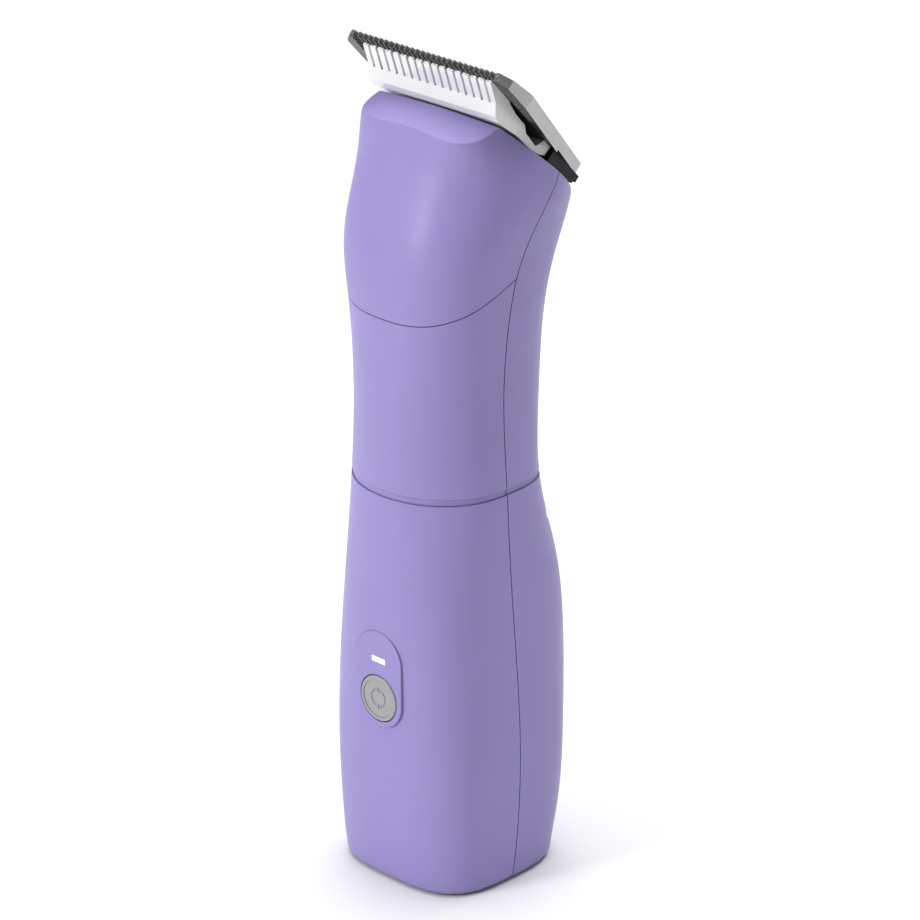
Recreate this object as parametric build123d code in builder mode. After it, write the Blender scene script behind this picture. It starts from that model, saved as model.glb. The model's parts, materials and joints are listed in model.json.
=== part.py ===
from build123d import *
import math
import os

os.makedirs("parts", exist_ok=True)

# A cordless pet clipper that stands on its base. Millimetres, +Z up, the front
# faces -Y, and the origin is the middle of the base.

# ---------------------------------------------------------------- driving sizes
handle_height = 137.0        # base to the front of the drive cap's lower edge
head_height = 45.3           # from there to the brow edge of the head
half_width = 21.8            # at the belly
front_depth = 21.6           # belly, forward of the origin
back_depth = 23.5            # belly, behind the origin
wall = 2.2
lip_thickness = 1.0
lip_reach = 1.5
parting_gap = 0.2
base_radius = 2.2

face_angle = 40.5            # slope of the head's top face below the horizontal
brow_y = -4.5
brow_angle = 18.0            # rise of the bevel band in front of the brow edge
brow_crown = 110.0           # radius of the bevel band across the head
cap_rise = 23.3              # tilt of the drive cap's lower edge

groove_depth = 0.35
groove_width = 1.6
groove_height = 96.9

button_radius = 5.5
button_height = 46.9
button_travel = 0.6
button_gap = 0.2
button_sunk = 0.25           # button face below the raised pad
pad_margin = 1.3             # raised pad beyond the button
pad_proud = 0.5
led_width = 4.1
led_depth = 1.25
led_rise = 9.5               # lamp window above the button

battery_radius = 9.2
battery_length = 65.0
battery_y = 3.0
battery_floor = 15.0
battery_gap = 0.15           # play between the cell and its tray
tray_thickness = 1.5

board_y = -14.2              # front face of the circuit board
board_thickness = 1.6
board_half_width = 11.5
board_low = 34.0
board_high = 66.0
switch_height = 2.2
plunger_height = 0.6
board_screw_radius = 0.8
inlet_barrel = 2.75          # bore of the charging inlet
inlet_pin_radius = 0.85

motor_radius = 12.0
motor_length = 32.5
endbell_length = 4.0
motor_y = -2.75
can_thickness = 1.0
shaft_radius = 1.5
frame_plate = 3.0            # thickness of the frame plate that the motor hangs from
frame_below_cap = 10.0       # underside of that plate below the cap line
ledge_x = 15.0               # screws that hold the frame down
ledge_y = -5.8

crank_throw = 0.9
crank_radius = 6.2
crank_thickness = 2.6
crank_pin_radius = 1.4
bearing_radius = 3.5
bearing_height = 5.0
fork_height = 5.0            # fork's middle above the cap line
lever_arm = 14.0             # pivot above the fork's middle
lever_thickness = 4.0
fork_prong = 2.5
tip_radius = 2.5
pivot_radius = 2.0
bush_thickness = 1.0

blade_angle = 46.5           # slope of the blade below the horizontal
blade_y = -5.97              # where the comb's upper plane starts
blade_above_brow = 13.67
comb_length = 42.0
comb_thickness = 2.6
flange_thickness = 3.2
tooth_half_row = 22.0
comb_half_width = 24.0
comb_rear_half_width = 19.6
comb_pitch = 1.57
comb_slots = 27
comb_slot_width = 0.85
comb_slot_length = 8.0
tip_drop = 1.3               # tooth tips below the comb's upper plane
cutter_half_width = 19.0
cutter_pitch = 2.3
cutter_slots = 16
cutter_slot_width = 0.7
cutter_depth = 5.25
bracket_start = 29.3
bracket_end = 36.2
bracket_fin = 1.8            # thickness of the bracket's side walls
bracket_floor = 5.0          # underside of the bracket's top plate
bracket_half_width = 20.0
tongue_half_width = 10.0
tongue_thickness = 1.4
tongue_start = 29.6
socket_wall = 2.9
socket_lip = 1.4
socket_mouth = 7.5           # half the opening between the socket's lips

hinge_along = 41.0           # pin along the blade from the tooth tips
hinge_below = 5.1
knuckle_radius = 2.1
hinge_pin_radius = 1.2
ear_inner = 6.5
ear_thickness = 3.0
pocket_below = 8.8           # floor of the head's pocket
pocket_half_width = 13.6
pocket_end = 46.9            # rear wall of the pocket along the blade
pocket_corner = 3.0
hinge_plate = 1.1            # thickness of the hinge's fixing plate
hinge_screw_x = 8.4
hinge_screw_along = 45.2
hinge_screw_radius = 1.0

screw_radius = 1.2
screw_head_radius = 2.2
boss_radius = 2.9
frame_screw_radius = 1.0
motor_screw_x = 8.0
motor_screw_head = 2.0

sliding_fit = 0.06
running_fit = 0.05
moving_gap = 0.3
wide = 60.0

# ------------------------------------------------------------------ worked out
brow_z = handle_height + head_height
blade_z = brow_z + blade_above_brow
slope = math.tan(math.radians(face_angle))
along_y = math.cos(math.radians(blade_angle))
along_z = -math.sin(math.radians(blade_angle))
blade_origin = (0, blade_y, blade_z)
blade_plan = Plane(origin=blade_origin, x_dir=(1, 0, 0), z_dir=(0, -along_z, along_y))
blade_side = Plane(origin=blade_origin, x_dir=(0, along_y, along_z), z_dir=(1, 0, 0))

# Body sections from the base up: height, half width, front, back, and how square
# the front and back corners are (2 is an ellipse).
up = handle_height / 137.0
head_up = head_height / 45.3
widen = half_width / 21.8
forward = front_depth / 21.6
rearward = back_depth / 23.5


def station(height, width, front, back, front_square, back_square):
    """One horizontal section of the body, in driving proportions."""
    if height > 137.0:
        level = handle_height + (height - 137.0) * head_up
    else:
        level = height * up
    return level, width * widen, front * forward, back * rearward, front_square, back_square


stations = [
    station(0.0, 20.9, -20.2, 19.9, 3.1, 3.2),
    station(13.0, 21.6, -20.9, 21.9, 3.4, 3.4),
    station(32.0, 21.8, -21.6, 23.5, 3.5, 3.4),
    station(54.0, 21.0, -22.2, 24.4, 3.2, 3.3),
    station(75.0, 20.1, -22.4, 21.8, 2.6, 3.5),
    station(96.5, 19.8, -21.5, 15.5, 2.1, 3.6),
    station(118.0, 19.2, -20.8, 17.3, 2.2, 2.9),
    station(139.5, 19.8, -20.5, 19.2, 2.7, 2.9),
    station(149.5, 20.5, -20.4, 22.2, 3.0, 2.9),
    station(157.5, 21.8, -19.0, 28.4, 2.9, 2.1),
    station(172.7, 21.4, -14.3, 29.8, 3.2, 1.5),
    station(186.0, 17.3, -7.2, 29.0, 3.0, 2.3),
]


def outline(section, inset):
    """Points of a superellipse whose front and back halves differ in squareness."""
    width, front, back, front_square, back_square = section[1:]
    middle = (front + back) / 2
    reach_x = width - inset
    reach_y = (back - front) / 2 - inset
    points = []
    steps = 20
    for step in range(steps):
        angle = 2 * math.pi * step / steps
        square = front_square if math.sin(angle) < 0 else back_square
        x = reach_x * math.copysign(abs(math.cos(angle)) ** (2 / square), math.cos(angle))
        y = reach_y * math.copysign(abs(math.sin(angle)) ** (2 / square), math.sin(angle))
        points.append((x, middle + y))
    return points


def body_form(inset, floor):
    """The body's outer form, drawn in by inset, above a floor."""
    drop = inset / math.cos(math.radians(face_angle))
    brow = (brow_y, brow_z - drop)
    back_end = brow[1] - (wide - brow_y) * slope
    front_end = brow[1] + (wide + brow_y) * slope
    bevel_rise = (0, math.cos(math.radians(brow_angle)), math.sin(math.radians(brow_angle)))
    shoulder = brow_crown - math.sqrt(brow_crown ** 2 - (wide / 2) ** 2)
    with BuildPart() as form:
        for section in stations:
            with BuildSketch(Plane.XY.offset(section[0])):
                with BuildLine():
                    Spline(outline(section, inset), periodic=True)
                make_face()
        loft()
        with BuildSketch(Plane.YZ):
            with BuildLine():
                Polyline((-wide, floor), (-wide, front_end), (wide, back_end), (wide, floor), close=True)
            make_face()
        extrude(amount=wide, both=True, mode=Mode.INTERSECT)
        with BuildSketch(Plane(origin=(0, *brow), x_dir=(1, 0, 0), z_dir=bevel_rise)):
            with BuildLine():
                ThreePointArc((-wide / 2, shoulder), (0, 0), (wide / 2, shoulder))
                Polyline((wide / 2, shoulder), (wide / 2, 5 * wide), (-wide / 2, 5 * wide),
                         (-wide / 2, shoulder))
            make_face()
        extrude(amount=5 * wide, both=True, mode=Mode.INTERSECT)
    return form.part


def behind_seam(shift):
    """Everything behind the side parting line, moved back by shift."""
    points = [
        (-0.9, -wide),
        (-0.9, 0.0),
        (0.6, 45.0 * up),
        (-1.9, 97.0 * up),
        (-2.0, 130.0 * up),
        (0.9, brow_z - 33.8),
        (6.0, brow_z - 21.8),
        (11.8, brow_z - 13.8),
        (20.0, brow_z - 5.0),
    ]
    moved = [(y + shift, z) for y, z in points]
    with BuildPart() as half:
        with BuildSketch(Plane.YZ):
            with BuildLine():
                Line(moved[0], moved[1])
                Spline(*moved[1:])
                Polyline(moved[-1], (wide, brow_z + wide), (wide, -wide), moved[0])
            make_face()
        extrude(amount=wide, both=True)
    return half.part


def above_cap_line(shift):
    """Everything above the drive cap's tilted lower edge, moved up by shift."""
    rise = math.tan(math.radians(cap_rise))
    front_z = handle_height + shift - rise * (wide - front_depth)
    back_z = handle_height + shift + rise * (wide + front_depth)
    with BuildPart() as half:
        with BuildSketch(Plane.YZ):
            with BuildLine():
                Polyline((-wide, front_z), (wide, back_z), (wide, 5 * wide), (-wide, 5 * wide),
                         close=True)
            make_face()
        extrude(amount=wide, both=True)
    return half.part


def cylinder(radius, start, direction, length):
    """A round bar from a point along a direction."""
    with BuildPart() as bar:
        with BuildSketch(Plane(origin=start, z_dir=direction)):
            Circle(radius)
        extrude(amount=length)
    return bar.part


def block(x, y, z):
    """A box given by its lowest and highest coordinates along each axis."""
    with BuildPart() as box:
        with BuildSketch(Plane.XY.offset(z[0])):
            with Locations(((x[0] + x[1]) / 2, (y[0] + y[1]) / 2)):
                Rectangle(x[1] - x[0], y[1] - y[0])
        extrude(amount=z[1] - z[0])
    return box.part


def blade_block(x, along, height):
    """A box in the blade's own directions: across, along and above its plane."""
    with BuildPart() as box:
        with BuildSketch(blade_plan.offset(height[0])):
            with Locations(((x[0] + x[1]) / 2, (along[0] + along[1]) / 2)):
                Rectangle(x[1] - x[0], along[1] - along[0])
        extrude(amount=height[1] - height[0])
    return box.part


def rear_corners(form):
    """The two rear corner edges, square to the blade, of a block on the blade."""
    upright = form.edges().filter_by(Axis((0, 0, 0), blade_plan.z_dir))
    return upright.sort_by(Axis(blade_origin, blade_plan.y_dir))[-2:]


def coil(radius, wire, pitch, height, place):
    """A helical spring."""
    with BuildPart() as spring:
        with BuildLine() as path:
            Helix(pitch=pitch, height=height, radius=radius)
        with BuildSketch(Plane(origin=path.line @ 0, z_dir=path.line % 0)):
            Circle(wire)
        sweep(is_frenet=True)
    return spring.part.moved(place.location)


def section_at(height):
    """Half width, front and back of the outer body at a height."""
    for low, high in zip(stations, stations[1:]):
        if low[0] <= height <= high[0]:
            share = (height - low[0]) / (high[0] - low[0])
            return [low[i] + share * (high[i] - low[i]) for i in (1, 2, 3)]
    return list(stations[-1][1:4])


def blade_point(along, height):
    """World Y and Z of a point given along the blade and above its plane."""
    y = blade_y + along * along_y - height * along_z
    z = blade_z + along * along_z + height * along_y
    return y, z


def save(part, name):
    """Label a finished piece and write its file."""
    part.label = name
    export_step(part, f"parts/{name}.step")


# ------------------------------------------------------------------- the shells
outer = body_form(0, 0)
cavity = body_form(wall, wall)
wall_middle = body_form(wall / 2, wall / 2)
lip_outside = body_form(wall + running_fit, wall + running_fit)
lip_inside = body_form(wall + lip_thickness, wall + lip_thickness)
groove_core = body_form(groove_depth, -wide)

pad_face = section_at(button_height)[1] - pad_proud
pad_radius = button_radius + button_gap + pad_margin
led_height = button_height + led_rise

window_half_width = tip_radius + crank_throw * 1.8 + 2.4
window_front = -3.6
window_back = 5.4

screw_seat = 10.0
screw_end = -7.0
inlet_radius = 4.2
inlet_y = -8.0
screw_x = 15.2
low_screw_z = 11.0
mid_screw_z = battery_floor + battery_length + 5.2
cap_screw_x = 14.4
cap_screw_z = handle_height + 13.5
release_z = handle_height + 10.0
release_half_width = 10.5
release_half_height = 2.3
housing_screw_spots = [(x, z) for x in (-screw_x, screw_x) for z in (low_screw_z, mid_screw_z)]
cap_screw_spots = [(x, cap_screw_z) for x in (-cap_screw_x, cap_screw_x)]

board_spots = [(x, z) for x in (-9.0, 9.0) for z in (board_low + 3, board_high - 3)]
frame_z = handle_height - frame_below_cap
ledge_inner = ledge_x - 2.0
ledge_span = (ledge_y - 2.6, ledge_y + 2.0)
plate_top = -pocket_below + hinge_plate
hinge_screw_spots = [(x, *blade_point(hinge_screw_along, plate_top)) for x in (-hinge_screw_x,
                                                                               hinge_screw_x)]


def screw_y(x, z, seat, length, head=1.8):
    """A cross-head screw driven forwards, its head's underside at seat."""
    with BuildPart() as screw:
        add(cylinder(screw_radius, (x, seat, z), (0, -1, 0), length))
        add(cylinder(screw_head_radius, (x, seat, z), (0, 1, 0), head))
        fillet(screw.edges().group_by(Axis.Y)[-1], radius=0.5)
        add(block((x - 1.2, x + 1.2), (seat + head - 0.9, seat + head), (z - 0.25, z + 0.25)),
            mode=Mode.SUBTRACT)
        add(block((x - 0.25, x + 0.25), (seat + head - 0.9, seat + head), (z - 1.2, z + 1.2)),
            mode=Mode.SUBTRACT)
    return screw.part


with BuildPart() as deck:
    add(blade_block((-pocket_half_width - wall, pocket_half_width + wall), (10, 49),
                    (-pocket_below - wall, 0)))
    add(wall_middle, mode=Mode.INTERSECT)

with BuildPart() as raised_pad:
    with BuildSketch(Plane.XZ.offset(-pad_face)):
        with Locations((0, button_height + led_rise / 2)):
            SlotCenterToCenter(led_rise, 2 * pad_radius, rotation=90)
    extrude(amount=-wall - pad_proud)

with BuildPart() as groove:
    add(block((-wide, wide), (-wide, wide), (groove_height - groove_width / 2,
                                             groove_height + groove_width / 2)))
    add(groove_core, mode=Mode.SUBTRACT)

with BuildPart() as pocket:
    add(blade_block((-pocket_half_width, pocket_half_width), (12, pocket_end), (-pocket_below, 5)))
    chamfer(rear_corners(pocket), length=pocket_corner)

window = block((-window_half_width, window_half_width), (window_front, window_back),
               (brow_z - 14, brow_z))
release_opening = block(
    (-release_half_width - moving_gap, release_half_width + moving_gap),
    (12, wide),
    (release_z - release_half_height - moving_gap, release_z + release_half_height + moving_gap),
)
latch_slot = block((-3.4, 3.4), (12.5, 16.3), (release_z, brow_z))
inlet_opening = cylinder(inlet_radius + running_fit, (0, inlet_y, -1), (0, 0, 1), 2 * wall)

with BuildPart() as shell:
    add(outer)
    fillet(shell.edges().group_by(Axis.Z)[0], radius=base_radius)
    add(cavity, mode=Mode.SUBTRACT)
    add(deck.part)
    add(raised_pad.part)
    for x, z in housing_screw_spots + cap_screw_spots:
        add(cylinder(boss_radius, (x, -wide, z), (0, 1, 0), 2 * wide) & wall_middle)
    add(groove.part, mode=Mode.SUBTRACT)
    add(pocket.part, mode=Mode.SUBTRACT)
    add(window, mode=Mode.SUBTRACT)
    add(release_opening, mode=Mode.SUBTRACT)
    add(inlet_opening, mode=Mode.SUBTRACT)
    for x, z in housing_screw_spots + cap_screw_spots:
        add(cylinder(screw_radius + running_fit, (x, screw_end - 1, z), (0, 1, 0), wide),
            mode=Mode.SUBTRACT)
        add(cylinder(screw_head_radius + running_fit, (x, screw_seat, z), (0, 1, 0), wide),
            mode=Mode.SUBTRACT)
    add(latch_slot, mode=Mode.SUBTRACT)
    for spot in hinge_screw_spots:
        add(cylinder(hinge_screw_radius + running_fit, spot, blade_plan.z_dir * -1, 4),
            mode=Mode.SUBTRACT)

with BuildPart() as lip:
    add(wall_middle)
    add(behind_seam(parting_gap / 2), mode=Mode.INTERSECT)
    add(lip_outside)
    add(lip_inside, mode=Mode.SUBTRACT)
    add(behind_seam(-lip_reach), mode=Mode.INTERSECT)
    add(behind_seam(lip_reach), mode=Mode.SUBTRACT)
    add(deck.part, mode=Mode.SUBTRACT)
    for x, z in housing_screw_spots + cap_screw_spots:
        add(cylinder(boss_radius + moving_gap, (x, -wide, z), (0, 1, 0), 2 * wide), mode=Mode.SUBTRACT)

with BuildPart() as front_housing:
    add(shell.part)
    for x, z in board_spots:
        add(cylinder(1.9, (x, board_y, z), (0, -1, 0), wide) & wall_middle)
    for side in (-1, 1):
        add(block(sorted((side * ledge_inner, side * wide)), ledge_span,
                  (frame_z - 6, frame_z)) & wall_middle)
    add(behind_seam(-parting_gap / 2), mode=Mode.SUBTRACT)
    add(above_cap_line(-parting_gap / 2), mode=Mode.SUBTRACT)
    with Locations(Plane(origin=(0, pad_face, button_height), z_dir=(0, -1, 0))):
        Hole(button_radius + button_gap, depth=3 * wall)
    add(block((-led_width / 2, led_width / 2), (-wide, -15),
              (led_height - led_depth / 2, led_height + led_depth / 2)),
        mode=Mode.SUBTRACT)
    for x, z in board_spots:
        add(cylinder(board_screw_radius + running_fit, (x, board_y, z), (0, -1, 0), 4.0),
            mode=Mode.SUBTRACT)
    for side in (-1, 1):
        add(cylinder(frame_screw_radius + running_fit, (side * ledge_x, ledge_y, frame_z), (0, 0, -1),
                     5.0), mode=Mode.SUBTRACT)
save(front_housing.part, "front_housing")

with BuildPart() as drive_cap:
    add(shell.part)
    add(behind_seam(-parting_gap / 2), mode=Mode.SUBTRACT)
    add(above_cap_line(parting_gap / 2), mode=Mode.INTERSECT)
save(drive_cap.part, "drive_cap")

with BuildPart() as back_housing:
    add(shell.part)
    add(behind_seam(parting_gap / 2), mode=Mode.INTERSECT)
    add(lip.part)
save(back_housing.part, "back_housing")

# --------------------------------------------------------------- switch and lamp
with BuildPart() as power_button:
    face_plane = Plane(origin=(0, pad_face - button_sunk, button_height), x_dir=(1, 0, 0),
                       z_dir=(0, 1, 0))
    inner_wall_y = pad_face + wall + pad_proud
    stem_end = board_y - switch_height - button_travel - 0.1
    with BuildSketch(face_plane):
        Circle(button_radius)
    extrude(amount=inner_wall_y + moving_gap - pad_face + button_sunk)
    fillet(power_button.edges().group_by(Axis.Y)[0], radius=0.4)
    with BuildSketch(face_plane):
        Circle(button_radius - 0.9)
    extrude(amount=0.2, mode=Mode.SUBTRACT)
    with BuildSketch(face_plane.offset(0.2)):
        Circle(2.3)
        Circle(1.95, mode=Mode.SUBTRACT)
        with Locations((0, 2.2), (0, -2.2)):
            Rectangle(1.1, 1.1, mode=Mode.SUBTRACT)
        with Locations((0, 2.1), (0, -2.1)):
            Rectangle(0.35, 1.2)
    extrude(amount=0.15, mode=Mode.SUBTRACT)
    with BuildSketch(Plane(origin=(0, inner_wall_y + moving_gap, button_height), z_dir=(0, 1, 0))):
        Circle(button_radius + 1.1)
    extrude(amount=0.8)
    add(cylinder(1.6, (0, inner_wall_y + 1, button_height), (0, 1, 0), stem_end - inner_wall_y - 1))
save(power_button.part, "power_button")

spring_place = Plane(origin=(0, board_y - 3.0, button_height), z_dir=(0, 1, 0))
save(coil(2.6, 0.18, 0.6, 1.2, spring_place), "button_spring")

with BuildPart() as led_window:
    add(block((-led_width / 2, led_width / 2), (pad_face, inner_wall_y),
              (led_height - led_depth / 2, led_height + led_depth / 2)))
save(led_window.part, "led_window")

with BuildPart() as control_board:
    add(block((-board_half_width, board_half_width), (board_y, board_y + board_thickness),
              (board_low, board_high)))
    for x, z in board_spots:
        add(cylinder(board_screw_radius + running_fit, (x, board_y - 1, z), (0, 1, 0), 4),
            mode=Mode.SUBTRACT)
    with Locations(Plane(origin=(0, board_y + board_thickness, board_low + 10), x_dir=(1, 0, 0),
                         z_dir=(0, 1, 0))):
        with GridLocations(6, 5, 3, 2):
            Box(3.6, 2.6, 0.9, align=(Align.CENTER, Align.CENTER, Align.MIN))
save(control_board.part, "control_board")

with BuildPart() as tactile_switch:
    add(block((-3, 3), (board_y - switch_height + plunger_height, board_y),
              (button_height - 3, button_height + 3)))
    add(cylinder(1.5, (0, board_y - switch_height + plunger_height, button_height), (0, -1, 0),
                 plunger_height))
save(tactile_switch.part, "tactile_switch")

with BuildPart() as status_led:
    add(block((-1.0, 1.0), (board_y - 0.9, board_y), (led_height - 0.6, led_height + 0.6)))
save(status_led.part, "status_led")

with BuildPart() as board_screws:
    for x, z in board_spots:
        add(cylinder(board_screw_radius, (x, board_y + board_thickness, z), (0, -1, 0),
                     board_thickness + 3.5))
        add(cylinder(1.5, (x, board_y + board_thickness, z), (0, 1, 0), 0.9))
save(board_screws.part, "board_screws")

# ---------------------------------------------------------------- charging inlet
inlet_top = 11.5
with BuildPart() as charging_inlet:
    add(cylinder(inlet_radius, (0, inlet_y, 0.4), (0, 0, 1), inlet_top - 0.4))
    add(cylinder(inlet_radius + 1.0, (0, inlet_y, wall), (0, 0, 1), 1.2))
    add(cylinder(inlet_barrel, (0, inlet_y, 0), (0, 0, 1), 9.0), mode=Mode.SUBTRACT)
    add(cylinder(inlet_pin_radius, (0, inlet_y, 0), (0, 0, 1), 10.5), mode=Mode.SUBTRACT)
save(charging_inlet.part, "charging_inlet")

with BuildPart() as inlet_pin:
    add(cylinder(inlet_pin_radius, (0, inlet_y, 1.6), (0, 0, 1), 8.9))
    fillet(inlet_pin.edges().group_by(Axis.Z)[0], radius=0.4)
save(inlet_pin.part, "inlet_pin")

# ----------------------------------------------------------------------- battery
battery_top = battery_floor + battery_length
with BuildPart() as battery_cell:
    add(cylinder(battery_radius, (0, battery_y, battery_floor), (0, 0, 1), battery_length))
    fillet(battery_cell.edges(), radius=0.8)
save(battery_cell.part, "battery_cell")

tray_inner = battery_radius + battery_gap
tray_outer = tray_inner + tray_thickness
with BuildPart() as battery_tray:
    add(cylinder(tray_outer, (0, battery_y, battery_floor - 0.4 - tray_thickness), (0, 0, 1),
                 battery_length - 4 + tray_thickness))
    for side in (-1, 1):
        add(block((side * 7.5 - 0.8, side * 7.5 + 0.8), (battery_y + 5, wide),
                  (battery_floor, battery_top - 8)) & cavity)
        add(cylinder(1.8, (side * 6, battery_y + 5, wall), (0, 0, 1), battery_floor - wall - 1))
    add(cylinder(tray_inner, (0, battery_y, battery_floor - 0.4), (0, 0, 1), battery_length),
        mode=Mode.SUBTRACT)
    add(block((-wide, wide), (-wide, battery_y - 5), (battery_floor - 0.4, battery_top)),
        mode=Mode.SUBTRACT)
save(battery_tray.part, "battery_tray")

tab = 0.25
with BuildPart() as battery_tabs:
    add(block((-2, 2), (battery_y - 5, battery_y + 3), (battery_top, battery_top + tab)))
    add(block((-2, 2), (battery_y - battery_radius - tab, battery_y + 3),
              (battery_floor - tab, battery_floor)))
    add(block((-2, 2), (battery_y - battery_radius - tab, battery_y - battery_radius),
              (battery_floor - tab, battery_top - 6)))
save(battery_tabs.part, "battery_tabs")

# ------------------------------------------------------------------------- motor
can_low = frame_z - motor_length
endbell_low = can_low - endbell_length
frame_top = frame_z + frame_plate


def turned(radius, low, high):
    """A disc or bar on the motor's axis."""
    return cylinder(radius, (0, motor_y, low), (0, 0, 1), high - low)


with BuildPart() as motor_can:
    add(turned(motor_radius, can_low, frame_z))
    fillet(motor_can.edges().group_by(Axis.Z)[-1], radius=0.8)
    add(turned(motor_radius - can_thickness, can_low, frame_z - 1.2), mode=Mode.SUBTRACT)
    add(turned(shaft_radius + running_fit, can_low, frame_z + 1), mode=Mode.SUBTRACT)
    for side in (-1, 1):
        add(cylinder(frame_screw_radius + running_fit, (side * motor_screw_x, motor_y, frame_z - 2),
                     (0, 0, 1), 3), mode=Mode.SUBTRACT)
save(motor_can.part, "motor_can")

with BuildPart() as motor_endbell:
    add(turned(motor_radius, endbell_low + 1.5, can_low))
    add(turned(4.0, endbell_low, can_low))
    add(turned(shaft_radius + running_fit, endbell_low + 1, can_low), mode=Mode.SUBTRACT)
save(motor_endbell.part, "motor_endbell")

with BuildPart() as motor_magnets:
    add(turned(motor_radius - can_thickness, can_low + 4, frame_z - 5))
    add(turned(motor_radius - can_thickness - 1.7, can_low, frame_z), mode=Mode.SUBTRACT)
    add(block((-2, 2), (-wide, wide), (can_low, frame_z)), mode=Mode.SUBTRACT)
save(motor_magnets.part, "motor_magnets")

armature_radius = motor_radius - can_thickness - 2.2
with BuildPart() as motor_armature:
    add(turned(armature_radius, can_low + 8, frame_z - 6))
    for step in range(5):
        angle = math.radians(72 * step)
        start = (armature_radius * math.cos(angle), motor_y + armature_radius * math.sin(angle),
                 can_low + 7)
        add(cylinder(1.3, start, (0, 0, 1), motor_length), mode=Mode.SUBTRACT)
    add(turned(shaft_radius, can_low, frame_z), mode=Mode.SUBTRACT)
save(motor_armature.part, "motor_armature")

with BuildPart() as motor_commutator:
    add(turned(3.4, can_low + 2, can_low + 7.5))
    add(turned(shaft_radius, can_low, frame_z), mode=Mode.SUBTRACT)
save(motor_commutator.part, "motor_commutator")

crank_low = frame_top + 3.1
crank_top = crank_low + crank_thickness
fork_z = handle_height + fork_height
bearing_low = fork_z - bearing_height / 2
bearing_top = fork_z + bearing_height / 2
with BuildPart() as motor_shaft:
    add(turned(shaft_radius, endbell_low + 1.2, crank_top - 0.6))
save(motor_shaft.part, "motor_shaft")

with BuildPart() as counterweight:
    add(turned(crank_radius, frame_top + 0.6, crank_low - 0.1))
    add(block((-wide, wide), (motor_y + 1.0, wide), (frame_top, crank_low)), mode=Mode.SUBTRACT)
    add(turned(3.0, frame_top + 0.6, crank_low - 0.1))
    add(turned(shaft_radius, frame_z, crank_top), mode=Mode.SUBTRACT)
save(counterweight.part, "counterweight")

with BuildPart() as eccentric_crank:
    add(turned(5.0, crank_low, crank_top))
    fillet(eccentric_crank.edges(), radius=0.3)
    add(cylinder(crank_pin_radius + 0.6, (0, motor_y + crank_throw, crank_low + 1), (0, 0, 1),
                 bearing_low - crank_low - 1))
    add(cylinder(crank_pin_radius, (0, motor_y + crank_throw, crank_top), (0, 0, 1),
                 bearing_top + 0.4 - crank_top))
    add(turned(shaft_radius, frame_z, crank_top - 0.6), mode=Mode.SUBTRACT)
save(eccentric_crank.part, "eccentric_crank")

with BuildPart() as crank_bearing:
    centre = (0, motor_y + crank_throw, bearing_low)
    add(cylinder(bearing_radius, centre, (0, 0, 1), bearing_height))
    fillet(crank_bearing.edges(), radius=0.3)
    add(cylinder(crank_pin_radius, centre, (0, 0, 1), bearing_height), mode=Mode.SUBTRACT)
save(crank_bearing.part, "crank_bearing")

# ------------------------------------------------------------- frame and drive arm
tip_along = 18.2
tip_below = 6.6
tip_y, tip_z = blade_point(tip_along, -tip_below)
pivot_z = fork_z + lever_arm
upright_front = -14.5
upright_back = 7.0
upright_thickness = 2.5
upright_top = pivot_z + 5.0
bush_radius = pivot_radius + bush_thickness

with BuildPart() as drive_frame:
    add(block((-12, 12), (upright_front, upright_back + upright_thickness), (frame_z, frame_top)))
    fillet(drive_frame.edges().filter_by(Axis.Z), radius=3)
    add(block((-wide, wide), ledge_span, (frame_z, frame_top)) & cavity)
    for low in (upright_front, upright_back):
        add(block((-6, 6), (low, low + upright_thickness), (frame_z, pivot_z)))
        add(cylinder(6, (0, low, pivot_z), (0, 1, 0), upright_thickness))
        add(block((-6.5, 6.5), (low - 1, low + upright_thickness + 1), (upright_top, upright_top + 5)),
            mode=Mode.SUBTRACT)
    add(turned(shaft_radius + 1.2, frame_z, frame_top), mode=Mode.SUBTRACT)
    add(cylinder(pivot_radius, (0, -wide, pivot_z), (0, 1, 0), 2 * wide), mode=Mode.SUBTRACT)
    for side in (-1, 1):
        add(cylinder(frame_screw_radius + running_fit, (side * ledge_x, ledge_y, frame_z), (0, 0, 1),
                     6), mode=Mode.SUBTRACT)
        add(cylinder(frame_screw_radius + running_fit, (side * motor_screw_x, motor_y, frame_z),
                     (0, 0, 1), 6), mode=Mode.SUBTRACT)
        add(cylinder(motor_screw_head + running_fit, (side * motor_screw_x, motor_y, frame_top - 1.2),
                     (0, 0, 1), 6), mode=Mode.SUBTRACT)
save(drive_frame.part, "drive_frame")

with BuildPart() as frame_screws:
    for side in (-1, 1):
        add(cylinder(frame_screw_radius, (side * ledge_x, ledge_y, frame_top), (0, 0, -1),
                     frame_plate + 4.5))
        add(cylinder(1.6, (side * ledge_x, ledge_y, frame_top), (0, 0, 1), 1.3))
save(frame_screws.part, "frame_screws")

with BuildPart() as motor_screws:
    for side in (-1, 1):
        add(cylinder(frame_screw_radius, (side * motor_screw_x, motor_y, frame_top - 1.2), (0, 0, -1),
                     frame_plate - 0.2))
        add(cylinder(motor_screw_head, (side * motor_screw_x, motor_y, frame_top - 1.2), (0, 0, 1), 1.1))
save(motor_screws.part, "motor_screws")

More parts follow.
